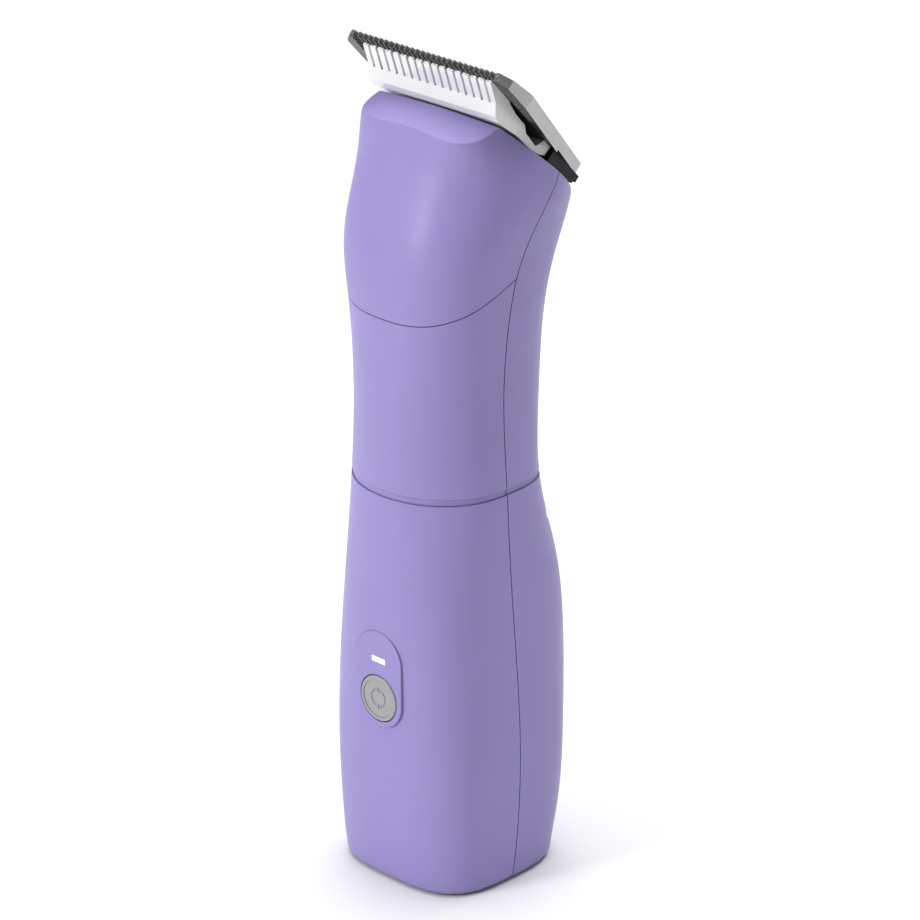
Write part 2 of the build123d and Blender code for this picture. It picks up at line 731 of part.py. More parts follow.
fork_half_gap = bearing_radius + 2 * crank_throw + moving_gap
fork_outer = fork_half_gap + fork_prong
arm_front = tip_y - lever_thickness / 2
arm_back = tip_y + lever_thickness / 2
hub_front = tip_y - 3.2
hub_back = tip_y + 3.2
bridge_low = bearing_top + 1.8
with BuildPart() as drive_lever:
    add(cylinder(bush_radius + 2.2, (0, hub_front, pivot_z), (0, 1, 0), hub_back - hub_front))
    with BuildSketch(Plane.XZ.offset(-arm_back)):
        with BuildLine():
            Polyline((-4, pivot_z), (-2.0, tip_z - 2), (-2.0, tip_z), (2.0, tip_z), (2.0, tip_z - 2),
                     (4, pivot_z), close=True)
        make_face()
    extrude(amount=lever_thickness)
    add(block((-4.5, 4.5), (arm_front, arm_back), (bridge_low, pivot_z)))
    add(block((-fork_outer, fork_outer), (motor_y - 2.8, arm_back), (bridge_low, bridge_low + 2.8)))
    for side in (-1, 1):
        inner_edge = side * fork_half_gap
        outer_edge = side * fork_outer
        add(block(sorted((inner_edge, outer_edge)), (motor_y - 2.8, motor_y + 2.8),
                  (bearing_low - 1, bridge_low)))
    add(cylinder(tip_radius, (0, tip_y - 1.5, tip_z), (0, 1, 0), 3.0))
    add(blade_block((-wide, wide), (-wide, wide), (-tip_below + 0.9, wide)), mode=Mode.SUBTRACT)
    add(cylinder(bush_radius, (0, -wide, pivot_z), (0, 1, 0), 2 * wide), mode=Mode.SUBTRACT)
save(drive_lever.part, "drive_lever")

with BuildPart() as lever_bush:
    add(cylinder(bush_radius, (0, hub_front - 0.2, pivot_z), (0, 1, 0), hub_back - hub_front + 0.4))
    add(cylinder(pivot_radius + running_fit, (0, -wide, pivot_z), (0, 1, 0), 2 * wide),
        mode=Mode.SUBTRACT)
save(lever_bush.part, "lever_bush")

with BuildPart() as lever_pivot_pin:
    add(cylinder(pivot_radius, (0, upright_front, pivot_z), (0, 1, 0),
                 upright_back + upright_thickness - upright_front))
save(lever_pivot_pin.part, "lever_pivot_pin")

with BuildPart() as pivot_spacers:
    for low, high in ((upright_front + upright_thickness, hub_front - 0.3),
                      (hub_back + 0.3, upright_back)):
        add(cylinder(3.2, (0, low, pivot_z), (0, 1, 0), high - low))
    add(cylinder(pivot_radius, (0, -wide, pivot_z), (0, 1, 0), 2 * wide), mode=Mode.SUBTRACT)
save(pivot_spacers.part, "pivot_spacers")

seal_wall = 1.3
with BuildPart() as head_seal:
    add(block((-window_half_width, window_half_width), (window_front, window_back),
              (brow_z - 14, brow_z)))
    add(blade_block((-wide, wide), (-wide, wide), (-pocket_below - wall + 0.2, -pocket_below)),
        mode=Mode.INTERSECT)
    add(block((seal_wall - window_half_width, window_half_width - seal_wall),
              (window_front + seal_wall, window_back - seal_wall), (brow_z - 20, brow_z)),
              mode=Mode.SUBTRACT)
save(head_seal.part, "head_seal")

# ------------------------------------------------------------------- blade hinge
hinge_y, hinge_z = blade_point(hinge_along, -hinge_below)
tongue_top = -(bracket_floor + sliding_fit)
tongue_bottom = tongue_top - tongue_thickness
ear_radius = 2.1


def cross_bar(radius, along, height, x):
    """A round bar across the blade between two X values."""
    y, z = blade_point(along, height)
    return cylinder(radius, (x[0], y, z), (1, 0, 0), x[1] - x[0])


with BuildPart() as hinge_base:
    plate_half_width = pocket_half_width - 1.4
    add(blade_block((-plate_half_width, plate_half_width), (hinge_along - ear_radius, pocket_end - 0.2),
                    (-pocket_below, plate_top)))
    chamfer(rear_corners(hinge_base), length=pocket_corner - 1.0)
    for side in (-1, 1):
        ear = sorted((side * ear_inner, side * (ear_inner + ear_thickness)))
        add(blade_block(ear, (hinge_along - ear_radius, hinge_along + ear_radius),
                        (-pocket_below, -hinge_below)))
        add(cross_bar(ear_radius, hinge_along, -hinge_below, ear))
    add(block((-3.7, 3.7), (12, 17.0), (release_z, brow_z)), mode=Mode.SUBTRACT)
    add(cross_bar(hinge_pin_radius, hinge_along, -hinge_below, (-wide, wide)), mode=Mode.SUBTRACT)
    for spot in hinge_screw_spots:
        add(cylinder(hinge_screw_radius + running_fit, spot, blade_plan.z_dir * -1, 5),
            mode=Mode.SUBTRACT)
save(hinge_base.part, "hinge_base")

with BuildPart() as hinge_screws:
    for spot in hinge_screw_spots:
        add(cylinder(hinge_screw_radius, spot, blade_plan.z_dir * -1, 2.9))
        add(cylinder(1.6, spot, blade_plan.z_dir, 0.9))
        slot = (hinge_screw_along - 0.2, hinge_screw_along + 0.2)
        add(blade_block((spot[0] - 1.2, spot[0] + 1.2), slot, (plate_top + 0.4, plate_top + 1)),
            mode=Mode.SUBTRACT)
save(hinge_screws.part, "hinge_screws")

with BuildPart() as hinge_tongue:
    knuckle = (-ear_inner + moving_gap, ear_inner - moving_gap)
    add(blade_block((-tongue_half_width, tongue_half_width), (tongue_start, hinge_along - 3.8),
                    (tongue_bottom, tongue_top)))
    corner_edges = hinge_tongue.edges().filter_by(lambda e: abs(e.length - tongue_thickness) < 0.01)
    chamfer(corner_edges, length=1.5)
    add(blade_block(knuckle, (hinge_along - 4.5, hinge_along), (tongue_bottom, tongue_top)))
    add(cross_bar(knuckle_radius, hinge_along, -hinge_below, knuckle))
    add(cross_bar(hinge_pin_radius + running_fit, hinge_along, -hinge_below, (-wide, wide)),
        mode=Mode.SUBTRACT)
    detent_y, detent_z = blade_point(32.0, 0)
    add(cylinder(1.5, (0, detent_y, detent_z), blade_plan.z_dir * -1, 10), mode=Mode.SUBTRACT)
save(hinge_tongue.part, "hinge_tongue")

with BuildPart() as hinge_pin:
    add(cross_bar(hinge_pin_radius, hinge_along, -hinge_below, (-12.9, 12.9)))
save(hinge_pin.part, "hinge_pin")

with BuildPart() as hinge_springs:
    for x in (-12.6, 10.0):
        add(coil(1.7, 0.33, 0.85, 2.55, Plane(origin=(x, hinge_y, hinge_z), z_dir=(1, 0, 0))))
save(hinge_springs.part, "hinge_springs")

# ----------------------------------------------------------------- blade release
with BuildPart() as release_button:
    body = (release_z - release_half_height, release_z + release_half_height)
    add(block((-release_half_width, release_half_width), (13, wide), body) & body_form(-0.9, -wide))
    add(block((-11.2, 11.2), (13, 14.6), (release_z - 3.6, release_z + 3.6)))
    add(block((-3, 3), (13.9, 15.4), (release_z, pivot_z + 5.4)))
save(release_button.part, "release_button")

latch_place = Plane(origin=(0, upright_back + upright_thickness + 0.3, release_z), z_dir=(0, 1, 0))
save(coil(1.9, 0.25, 0.9, 1.9, latch_place), "latch_spring")

# --------------------------------------------------------------------- blade set
blade_screw_spots = (-15.9, 15.9)
blade_screw_along = 33.0
blade_screw_head = 2.0
with BuildPart() as comb:
    with BuildSketch(blade_plan.offset(-comb_thickness)):
        with BuildLine():
            Polyline(
                (-tooth_half_row, 0), (-comb_half_width, 2.6), (-comb_half_width, 10.5),
                (-comb_rear_half_width, comb_length - 2.6), (-comb_rear_half_width + 2.2, comb_length),
                (comb_rear_half_width - 2.2, comb_length), (comb_rear_half_width, comb_length - 2.6),
                (comb_half_width, 10.5), (comb_half_width, 2.6), (tooth_half_row, 0), close=True,
            )
        make_face()
    extrude(amount=comb_thickness)
    with BuildSketch(blade_plan.offset(-flange_thickness)):
        for side in (-1, 1):
            with BuildLine():
                Polyline(
                    (side * 20.9, 0.4), (side * 22.3, 0.4), (side * comb_half_width, 2.6),
                    (side * comb_half_width, 10.5),
                    (side * 21.2, 29.0), (side * 20.9, 29.0), close=True,
                )
            make_face()
    extrude(amount=1.0)
    with BuildSketch(blade_side):
        with BuildLine():
            Polyline((-3, -tip_drop - 0.54), (9.5, 0), (9.5, 3), (-3, 3), close=True)
        make_face()
    extrude(amount=wide, both=True, mode=Mode.SUBTRACT)
    with BuildSketch(blade_plan.offset(-2 * comb_thickness)):
        for slot in range(comb_slots):
            x = (slot - (comb_slots - 1) / 2) * comb_pitch
            root = comb_slot_width / 2
            mouth = comb_pitch / 2 - 0.12
            with BuildLine():
                Polyline((x - mouth, -1), (x - mouth, 0), (x - root, 1.6),
                         (x - root, comb_slot_length - root))
                ThreePointArc((x - root, comb_slot_length - root), (x, comb_slot_length),
                              (x + root, comb_slot_length - root))
                Polyline((x + root, comb_slot_length - root), (x + root, 1.6), (x + mouth, 0),
                         (x + mouth, -1), (x - mouth, -1))
            make_face()
    extrude(amount=3 * comb_thickness, mode=Mode.SUBTRACT)
    for x in blade_screw_spots:
        y, z = blade_point(blade_screw_along, 1)
        add(cylinder(screw_radius, (x, y, z), blade_plan.z_dir * -1, 9), mode=Mode.SUBTRACT)
save(comb.part, "comb")

contact = -comb_thickness - sliding_fit
cutter_low = contact - cutter_depth
with BuildPart() as cutter_form:
    with BuildSketch(blade_side):
        with BuildLine():
            Polyline(
                (2.2, contact), (2.2, contact - 0.5), (6.8, contact - 2.6), (9.1, cutter_low + 0.4),
                (10.8, cutter_low), (14.4, cutter_low + 0.6), (18.6, cutter_low + 1.25),
                (21.6, cutter_low + 1.3),
                (24.9, cutter_low + 1.55), (27.3, cutter_low + 2.3), (28.6, cutter_low + 2.95),
                (28.8, contact),
                (26.0, contact), (25.1, contact - 1.7), (24.5, contact - 2.4), (20.0, contact - 2.1),
                (18.2, contact - 1.0), (14.2, contact - 0.9), (10.8, contact - 0.3), (10.4, contact),
                close=True,
            )
        make_face()
    extrude(amount=cutter_half_width, both=True)

guide_half_width = 7.0
with BuildPart() as guide_form:
    with BuildSketch(blade_side):
        with BuildLine():
            Polyline(
                (13.5, contact - 1.4), (28.4, contact - 1.4), (28.4, cutter_low + 2.85),
                (24.9, cutter_low + 1.55),
                (18.6, cutter_low + 1.25), (14.4, cutter_low + 0.6), (13.5, cutter_low + 0.46),
                close=True,
            )
        make_face()
    extrude(amount=guide_half_width, both=True)

with BuildPart() as cutter:
    add(cutter_form.part)
    add(blade_block((-guide_half_width, guide_half_width), (13.5, 28.4), (-wide, contact - 1.4)),
        mode=Mode.SUBTRACT)
    for slot in range(cutter_slots):
        x = (slot - (cutter_slots - 1) / 2) * cutter_pitch
        with BuildSketch(blade_side.offset(x - cutter_slot_width / 2)):
            with BuildLine():
                Polyline((0, 0), (9.4, 0), (9.4, contact - 0.2), (6.9, contact - 3.0), (0, contact - 6),
                         close=True)
            make_face()
        extrude(amount=cutter_slot_width, mode=Mode.SUBTRACT)
save(cutter.part, "cutter")

with BuildPart() as cutter_guide:
    add(guide_form.part)
    notch = tip_radius + running_fit
    add(blade_block((-notch, notch), (14.5, 30), (-wide, -tip_below + 1.2)), mode=Mode.SUBTRACT)
save(cutter_guide.part, "cutter_guide")

rail = tongue_half_width + sliding_fit
bracket_low = tongue_bottom - sliding_fit - socket_lip
face_height = blade_side.to_local_coords(Vector(0, brow_y, brow_z))
head_tilt = math.tan(math.radians(blade_angle - face_angle))


def above_head(along, gap):
    """Height in the blade's directions of a point a gap above the head's top face."""
    return face_height.Y + head_tilt * (along - face_height.X) + gap


rear_end = comb_length - 1.4
block_inner = pocket_half_width + moving_gap
countersink = 0.8
spring_leaf = 0.4
with BuildPart() as blade_bracket:
    add(blade_block((-bracket_half_width, bracket_half_width), (bracket_start, bracket_end),
                    (-bracket_floor, -comb_thickness)))
    for side in (-1, 1):
        wall_span = sorted((side * rail, side * (rail + socket_wall)))
        lip_span = sorted((side * socket_mouth, side * (rail + socket_wall)))
        block_span = sorted((side * block_inner, side * (comb_rear_half_width - 0.4)))
        add(blade_block(wall_span, (bracket_start, bracket_end), (bracket_low, -bracket_floor)))
        add(blade_block(lip_span, (bracket_start, bracket_end), (bracket_low, bracket_low + socket_lip)))
        add(blade_block(block_span, (bracket_end - 1, rear_end), (-bracket_floor + 0.4, -comb_thickness)))
        with BuildSketch(blade_side.offset(side * bracket_half_width)):
            with BuildLine():
                Polyline(
                    (bracket_start, -comb_thickness), (bracket_start, above_head(bracket_start, 0.6)),
                    (rear_end - 1.5, above_head(rear_end, 0.5)), (rear_end, -bracket_floor + 0.8),
                    (rear_end, -comb_thickness), close=True,
                )
            make_face()
        extrude(amount=-side * bracket_fin)
    add(blade_block((-wide, wide), (bracket_start - 1, rear_end + 1), (-comb_thickness, 0)),
        mode=Mode.SUBTRACT)
    for x in blade_screw_spots:
        place = (x, *blade_point(blade_screw_along, -bracket_floor - spring_leaf))
        add(cylinder(screw_radius, place, blade_plan.z_dir, 9), mode=Mode.SUBTRACT)
        with BuildSketch(Plane(origin=place, z_dir=blade_plan.z_dir)):
            Circle(blade_screw_head)
        extrude(amount=countersink, taper=45, mode=Mode.SUBTRACT)
save(blade_bracket.part, "blade_bracket")

with BuildPart() as tension_springs:
    for x in blade_screw_spots:
        add(blade_block((x - 1.9, x + 1.9), (bracket_start + 0.1, bracket_end - 0.4),
                        (-bracket_floor - spring_leaf, -bracket_floor)))
        place = (x, *blade_point(blade_screw_along, -bracket_floor - spring_leaf))
        with BuildSketch(Plane(origin=place, z_dir=blade_plan.z_dir)):
            Circle(blade_screw_head)
        extrude(amount=countersink, taper=45, mode=Mode.SUBTRACT)
save(tension_springs.part, "tension_springs")

with BuildPart() as blade_screws:
    for x in blade_screw_spots:
        place = (x, *blade_point(blade_screw_along, -bracket_floor - spring_leaf))
        add(cylinder(screw_radius, place, blade_plan.z_dir, bracket_floor))
        with BuildSketch(Plane(origin=place, z_dir=blade_plan.z_dir)):
            Circle(blade_screw_head)
        extrude(amount=countersink, taper=45)
        slot = (blade_screw_along - 0.25, blade_screw_along + 0.25)
        slot_top = -bracket_floor - spring_leaf + 0.5
        add(blade_block((x - 1.3, x + 1.3), slot, (slot_top - 1, slot_top)), mode=Mode.SUBTRACT)
save(blade_screws.part, "blade_screws")

# ------------------------------------------------------------------ case screws
with BuildPart() as housing_screws:
    for x, z in housing_screw_spots:
        add(screw_y(x, z, screw_seat, screw_seat - screw_end))
save(housing_screws.part, "housing_screws")

with BuildPart() as cap_screws:
    for x, z in cap_screw_spots:
        add(screw_y(x, z, screw_seat, screw_seat - screw_end))
save(cap_screws.part, "cap_screws")

# ------------------------------------------------------------------------- wires
wire_radius = 0.65
wire_y = board_y + board_thickness + wire_radius


def wire(points, bend):
    """An insulated wire along straight runs joined by round bends."""
    with BuildPart() as lead:
        with BuildLine() as route:
            FilletPolyline(*points, radius=bend)
        with BuildSketch(Plane(origin=route.line @ 0, z_dir=route.line % 0)):
            Circle(wire_radius)
        sweep()
    return lead.part


with BuildPart() as motor_leads:
    for x in (-5.8, 5.8):
        add(wire([(x, wire_y, board_high - 5), (x, wire_y, can_low - 13), (x, motor_y - 3, can_low - 9),
                  (x, motor_y - 3, endbell_low + 1.5)], 3.0))
save(motor_leads.part, "motor_leads")

with BuildPart() as battery_leads:
    for x in (-1.2, 1.2):
        start_z = battery_top + tab
        add(wire([(x, battery_y - 4, start_z), (x, battery_y - 4, start_z + 3.4),
                  (x, wire_y, start_z + 3.4), (x, wire_y, board_high - 5)], 2.4))
save(battery_leads.part, "battery_leads")

with BuildPart() as inlet_leads:
    for x in (-2.0, 2.0):
        add(wire([(x, inlet_y - 1.5, inlet_top), (x, inlet_y - 1.5, inlet_top + 8),
                  (x, wire_y, inlet_top + 15), (x, wire_y, board_low + 5)], 4.0))
save(inlet_leads.part, "inlet_leads")
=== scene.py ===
import json
import math

import bpy
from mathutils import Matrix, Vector


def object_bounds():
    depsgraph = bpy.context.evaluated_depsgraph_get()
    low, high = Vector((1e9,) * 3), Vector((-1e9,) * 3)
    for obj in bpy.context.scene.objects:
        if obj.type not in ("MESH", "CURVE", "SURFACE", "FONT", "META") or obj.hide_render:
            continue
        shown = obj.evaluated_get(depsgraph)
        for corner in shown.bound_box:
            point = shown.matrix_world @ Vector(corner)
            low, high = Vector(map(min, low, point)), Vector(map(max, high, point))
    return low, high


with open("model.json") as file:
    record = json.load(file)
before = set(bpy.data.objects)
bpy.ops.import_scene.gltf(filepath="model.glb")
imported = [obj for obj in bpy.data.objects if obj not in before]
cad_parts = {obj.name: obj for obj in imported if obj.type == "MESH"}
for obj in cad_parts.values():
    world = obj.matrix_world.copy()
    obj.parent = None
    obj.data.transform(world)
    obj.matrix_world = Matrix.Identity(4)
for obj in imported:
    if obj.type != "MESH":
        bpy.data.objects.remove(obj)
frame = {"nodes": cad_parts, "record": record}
CAD_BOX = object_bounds()

# Metres. Edge radii are the soft edges that a moulding or a ground part has.
MOULDED_EDGE = 0.00025
SHELL_EDGE = 0.0003
METAL_EDGE = 0.00012
GRAIN_DEPTH = 0.00002
BRUSH_DEPTH = 0.00001
# Reach of the ambient occlusion that paints shade into the gaps between mouldings.
PAINTED_SHADE_REACH = 0.0008
FLOOR_HALF = 3.0
FLOOR_DROP = 0.0001
WORLD_STRENGTH = 0.30
FOCAL_LENGTH_MM = 167.1
SENSOR_MM = 36.0
BLADE_UNDERSIDE = (0.0, -0.7254, -0.6884)

NODES = frame["nodes"]
RECORD = frame["record"]
SLOT_OF = {part["node"]: part["material_slot"] for part in RECORD["subparts"]}


# ---------------------------------------------------------------- node helpers
class Graph:
    """A material's node tree with short calls for the nodes used here."""

    def __init__(self, name):
        self.material = bpy.data.materials.new(name)
        self.material.use_nodes = True
        self.tree = self.material.node_tree
        self.tree.nodes.clear()
        self.out = self.add("ShaderNodeOutputMaterial")
        self.shader = self.add("ShaderNodeBsdfPrincipled")
        self.link(self.shader.outputs[0], self.out.inputs[0])
        self.coords = self.add("ShaderNodeTexCoord")

    def add(self, kind, **settings):
        node = self.tree.nodes.new(kind)
        for key, value in settings.items():
            setattr(node, key, value)
        return node

    def link(self, a, b):
        self.tree.links.new(a, b)

    def stretch(self, scale):
        """Object coordinates in metres, scaled along each axis."""
        node = self.add("ShaderNodeMapping")
        node.inputs["Scale"].default_value = scale
        self.link(self.coords.outputs["Object"], node.inputs["Vector"])
        return node.outputs[0]

    def noise(self, scale, detail=3.0, rough=0.55, vector=None, distortion=0.0):
        node = self.add("ShaderNodeTexNoise")
        node.inputs["Scale"].default_value = scale
        node.inputs["Detail"].default_value = detail
        node.inputs["Roughness"].default_value = rough
        node.inputs["Distortion"].default_value = distortion
        self.link(vector or self.coords.outputs["Object"], node.inputs["Vector"])
        return node.outputs["Fac"]

    def span(self, value, low, high, to_low, to_high, smooth=False):
        node = self.add("ShaderNodeMapRange")
        if smooth:
            node.interpolation_type = "SMOOTHSTEP"
        self.link(value, node.inputs[0])
        for index, number in zip((1, 2, 3, 4), (low, high, to_low, to_high)):
            node.inputs[index].default_value = number
        return node.outputs[0]

    def math(self, operation, a, b):
        node = self.add("ShaderNodeMath", operation=operation)
        for index, value in enumerate((a, b)):
            if isinstance(value, (int, float)):
                node.inputs[index].default_value = value
            else:
                self.link(value, node.inputs[index])
        return node.outputs[0]

    def dot(self, vector, direction):
        node = self.add("ShaderNodeVectorMath", operation="DOT_PRODUCT")
        self.link(vector, node.inputs[0])
        node.inputs[1].default_value = direction
        return node.outputs["Value"]

    def mix(self, factor, a, b):
        node = self.add("ShaderNodeMix", data_type="RGBA")
        self.link(factor, node.inputs["Factor"])
        for socket, value in ((node.inputs[6], a), (node.inputs[7], b)):
            if isinstance(value, (tuple, list)):
                socket.default_value = (*value[:3], 1.0)
            else:
                self.link(value, socket)
        return node.outputs[2]

    def bump(self, height, strength, distance, normal=None):
        node = self.add("ShaderNodeBump")
        node.inputs["Strength"].default_value = strength
        node.inputs["Distance"].default_value = distance
        self.link(height, node.inputs["Height"])
        if normal is not None:
            self.link(normal, node.inputs["Normal"])
        return node.outputs[0]

    def rounded(self, radius):
        """Normals that round the sharp edges of a moulding by a small radius."""
        node = self.add("ShaderNodeBevel", samples=4)
        node.inputs["Radius"].default_value = radius
        return node.outputs[0]

    def set(self, **values):
        for key, value in values.items():
            name = key.replace("_", " ")
            socket = self.shader.inputs[name]
            if isinstance(value, (int, float)):
                socket.default_value = value
            elif isinstance(value, (tuple, list)):
                socket.default_value = (*value[:3], 1.0)
            else:
                self.link(value, socket)


def tint(colour, factor):
    return tuple(min(1.0, channel * factor) for channel in colour)


def edge_mask(g, normal):
    """High where a rounded normal leaves the true one: along an edge."""
    geometry = g.add("ShaderNodeNewGeometry")
    node = g.add("ShaderNodeVectorMath", operation="DOT_PRODUCT")
    g.link(normal, node.inputs[0])
    g.link(geometry.outputs["True Normal"], node.inputs[1])
    return g.span(node.outputs["Value"], 0.80, 0.99, 1.0, 0.0)


def moulded(name, colour, rough=0.42, grain=2600.0, depth=GRAIN_DEPTH, patch=0.06, wear=0.25,
            radius=MOULDED_EDGE, coat=0.0):
    """Moulded plastic: fine spark texture, faint flow patches, polished and scuffed edges."""
    g = Graph(name)
    patches = g.noise(38.0, 4.0, 0.6)
    fine = g.noise(grain, 2.0, 0.7)
    speck = g.noise(grain * 0.33, 3.0, 0.6)
    scuffs = g.noise(1.0, 5.0, 0.7, g.stretch((420.0, 420.0, 60.0)), 0.4)
    rubbed = g.span(scuffs, 0.60, 0.74, 0.0, 1.0, True)
    soft = g.rounded(radius)
    edge = g.math("MULTIPLY", edge_mask(g, soft), g.span(speck, 0.35, 0.65, 0.3, 1.0))
    shade = g.mix(g.span(patches, 0.3, 0.7, 0.0, 1.0),
                  tint(colour, 1.0 - patch), tint(colour, 1.0 + patch))
    shade = g.mix(g.math("MULTIPLY", rubbed, 0.10), shade, tint(colour, 1.25))
    shade = g.mix(g.math("MULTIPLY", edge, wear), shade, tint(colour, 1.35))
    gloss = g.span(g.noise(95.0, 4.0, 0.65), 0.3, 0.7, rough - 0.05, rough + 0.06)
    gloss = g.math("ADD", gloss, g.math("MULTIPLY", rubbed, 0.05))
    height = g.math("ADD", fine, g.math("MULTIPLY", speck, 0.8))
    g.set(Base_Color=shade, Roughness=gloss, Normal=g.bump(height, 0.35, depth, soft), IOR=1.49)
    g.set(Coat_Weight=coat, Coat_Roughness=0.25)
    return g


def metal(name, colour, rough=0.26, direction=(1.0, 1.0, 1.0), brush=900.0, stain=0.10, wear=0.35,
          radius=METAL_EDGE):
    """Ground or plated metal: brush lines along one direction, faint stains, bright edges."""
    g = Graph(name)
    lines = g.noise(1.0, 4.0, 0.75, g.stretch(tuple(brush * d for d in direction)))
    cloud = g.noise(160.0, 4.0, 0.6)
    pits = g.span(g.noise(1400.0, 2.0, 0.5), 0.66, 0.74, 0.0, 1.0, True)
    soft = g.rounded(radius)
    edge = edge_mask(g, soft)
    shade = g.mix(g.span(cloud, 0.3, 0.7, 0.0, 1.0),
                  tint(colour, 1.0 - stain), tint(colour, 1.0 + stain * 0.5))
    shade = g.mix(g.math("MULTIPLY", pits, 0.35), shade, tint(colour, 0.55))
    shade = g.mix(g.math("MULTIPLY", edge, wear), shade, tint(colour, 1.3))
    gloss = g.span(lines, 0.3, 0.7, rough - 0.07, rough + 0.10)
    height = g.math("SUBTRACT", lines, g.math("MULTIPLY", pits, 0.5))
    g.set(Base_Color=shade, Metallic=1.0, Roughness=gloss)
    g.set(Normal=g.bump(height, 0.25, BRUSH_DEPTH, soft))
    return g


LILAC = (0.300, 0.248, 0.545)
# Near-black purple painted into the gaps between mouldings as shade.
GAP_SHADE_PAINT = (0.020, 0.015, 0.050)


def shell_plastic():
    """Satin lilac plastic with painted shade inside the narrow gaps between mouldings: ambient
    occlusion darkens the colour there.
    """
    g = moulded("satin_lilac_plastic", LILAC, rough=0.40, grain=3000.0, depth=0.000012, patch=0.025,
                wear=0.22, radius=SHELL_EDGE, coat=0.06)
    shade = g.shader.inputs["Base Color"].links[0].from_socket
    # Painted shade: ambient occlusion darkens the colour towards a near-black purple inside the gaps.
    gap_shade_occlusion = g.add("ShaderNodeAmbientOcclusion", samples=6)
    gap_shade_occlusion.inputs["Distance"].default_value = PAINTED_SHADE_REACH
    unshaded = g.span(gap_shade_occlusion.outputs["AO"], 0.34, 0.78, 0.0, 1.0, True)
    g.set(Base_Color=g.mix(unshaded, GAP_SHADE_PAINT, shade), Specular_IOR_Level=0.28)
    return g


def comb_steel():
    """Lapped steel with painted shade underneath and on the ground end facets: faces turned towards
    BLADE_UNDERSIDE are painted near black.
    """
    colour = (0.43, 0.43, 0.435)
    g = metal("comb_steel", colour, rough=0.30, direction=(0.05, 1.0, 1.0), brush=2600.0)
    shade = g.shader.inputs["Base Color"].links[0].from_socket
    normal = g.coords.outputs["Normal"]
    # Painted shade: faces turned towards BLADE_UNDERSIDE get a near-black, mostly non-metallic colour.
    shaded_faces = g.span(g.dot(normal, BLADE_UNDERSIDE), 0.80, 0.95, 0.0, 1.0)
    shade = g.mix(shaded_faces, shade, (0.022, 0.022, 0.025))
    g.set(Base_Color=shade, Metallic=g.math("SUBTRACT", 1.0, g.math("MULTIPLY", shaded_faces, 0.8)))
    return g


def cutter_ceramic():
    g = Graph("cutter_ceramic")
    colour = (0.80, 0.80, 0.80)
    soft = g.rounded(METAL_EDGE)
    cloud = g.noise(240.0, 4.0, 0.6)
    lines = g.noise(1.0, 3.0, 0.7, g.stretch((60.0, 1800.0, 1800.0)))
    shade = g.mix(g.span(cloud, 0.3, 0.7, 0.0, 1.0), tint(colour, 0.97), tint(colour, 1.02))
    shade = g.mix(g.math("MULTIPLY", edge_mask(g, soft), 0.3), shade, (0.92, 0.92, 0.92))
    g.set(Base_Color=shade, Roughness=g.span(lines, 0.3, 0.7, 0.14, 0.26), IOR=1.9)
    g.set(Normal=g.bump(lines, 0.15, 0.000006, soft), Coat_Weight=0.3, Coat_Roughness=0.08)
    return g


def lamp():
    """A frosted lens lit from behind, its glow varying a little across it."""
    g = Graph("lamp_lens")
    soft = g.rounded(0.0002)
    frost = g.noise(1800.0, 3.0, 0.6)
    glow = g.span(g.noise(300.0, 2.0, 0.5), 0.3, 0.7, 0.8, 1.1)
    shade = g.mix(frost, (0.82, 0.84, 0.90), (0.95, 0.96, 1.0))
    g.set(Base_Color=shade, Roughness=g.span(frost, 0.3, 0.7, 0.22, 0.34))
    g.set(Normal=g.bump(frost, 0.2, BRUSH_DEPTH, soft))
    g.set(Emission_Color=(1.0, 0.99, 0.97), Emission_Strength=glow)
    return g


def board():
    """Solder mask with a fine trace pattern; raised parts are dark packages."""
    g = Graph("board_mask")
    bricks = g.add("ShaderNodeTexBrick", offset=0.3, squash=1.0)
    bricks.inputs["Scale"].default_value = 320.0
    bricks.inputs["Mortar Size"].default_value = 0.06
    bricks.inputs["Color1"].default_value = (0.02, 0.12, 0.05, 1)
    bricks.inputs["Color2"].default_value = (0.03, 0.15, 0.07, 1)
    bricks.inputs["Mortar"].default_value = (0.05, 0.22, 0.10, 1)
    turn = g.add("ShaderNodeMapping")
    turn.inputs["Rotation"].default_value = (math.pi / 2, 0, 0)
    g.link(g.coords.outputs["Object"], turn.inputs["Vector"])
    g.link(turn.outputs[0], bricks.inputs["Vector"])
    cloud = g.noise(200.0, 3.0)
    shade = g.mix(g.span(cloud, 0.3, 0.7, 0.0, 0.3), bricks.outputs["Color"], (0.02, 0.09, 0.04))
    g.set(Base_Color=shade, Roughness=g.span(cloud, 0.3, 0.7, 0.28, 0.42))
    g.set(Normal=g.bump(bricks.outputs["Fac"], 0.2, GRAIN_DEPTH))
    return g


def two_leads(name, first, second):
    """Insulation in two colours, one lead on each side of the middle."""
    g = Graph(name)
    parts = g.add("ShaderNodeSeparateXYZ")
    g.link(g.coords.outputs["Object"], parts.inputs[0])
    side = g.math("GREATER_THAN", parts.outputs[0], 0.0)
    cloud = g.noise(700.0, 3.0)
    shade = g.mix(side, first, second)
    shade = g.mix(g.span(cloud, 0.4, 0.7, 0.0, 0.25), shade, (0.25, 0.25, 0.25))
    g.set(Base_Color=shade, Roughness=g.span(cloud, 0.3, 0.7, 0.38, 0.52))
    g.set(Normal=g.bump(cloud, 0.2, GRAIN_DEPTH))
    return g


def windings():
    """Enamelled copper wire laid in turns."""
    g = Graph("copper_windings")
    waves = g.add("ShaderNodeTexWave", bands_direction="Z", wave_profile="SIN")
    waves.inputs["Scale"].default_value = 900.0
    waves.inputs["Distortion"].default_value = 1.0
    g.link(g.coords.outputs["Object"], waves.inputs["Vector"])
    shade = g.mix(waves.outputs["Fac"], (0.24, 0.07, 0.025), (0.62, 0.25, 0.10))
    g.set(Base_Color=shade, Metallic=0.7, Roughness=g.span(waves.outputs["Fac"], 0, 1, 0.45, 0.25))
    g.set(Normal=g.bump(waves.outputs["Fac"], 0.5, 0.0001))
    return g


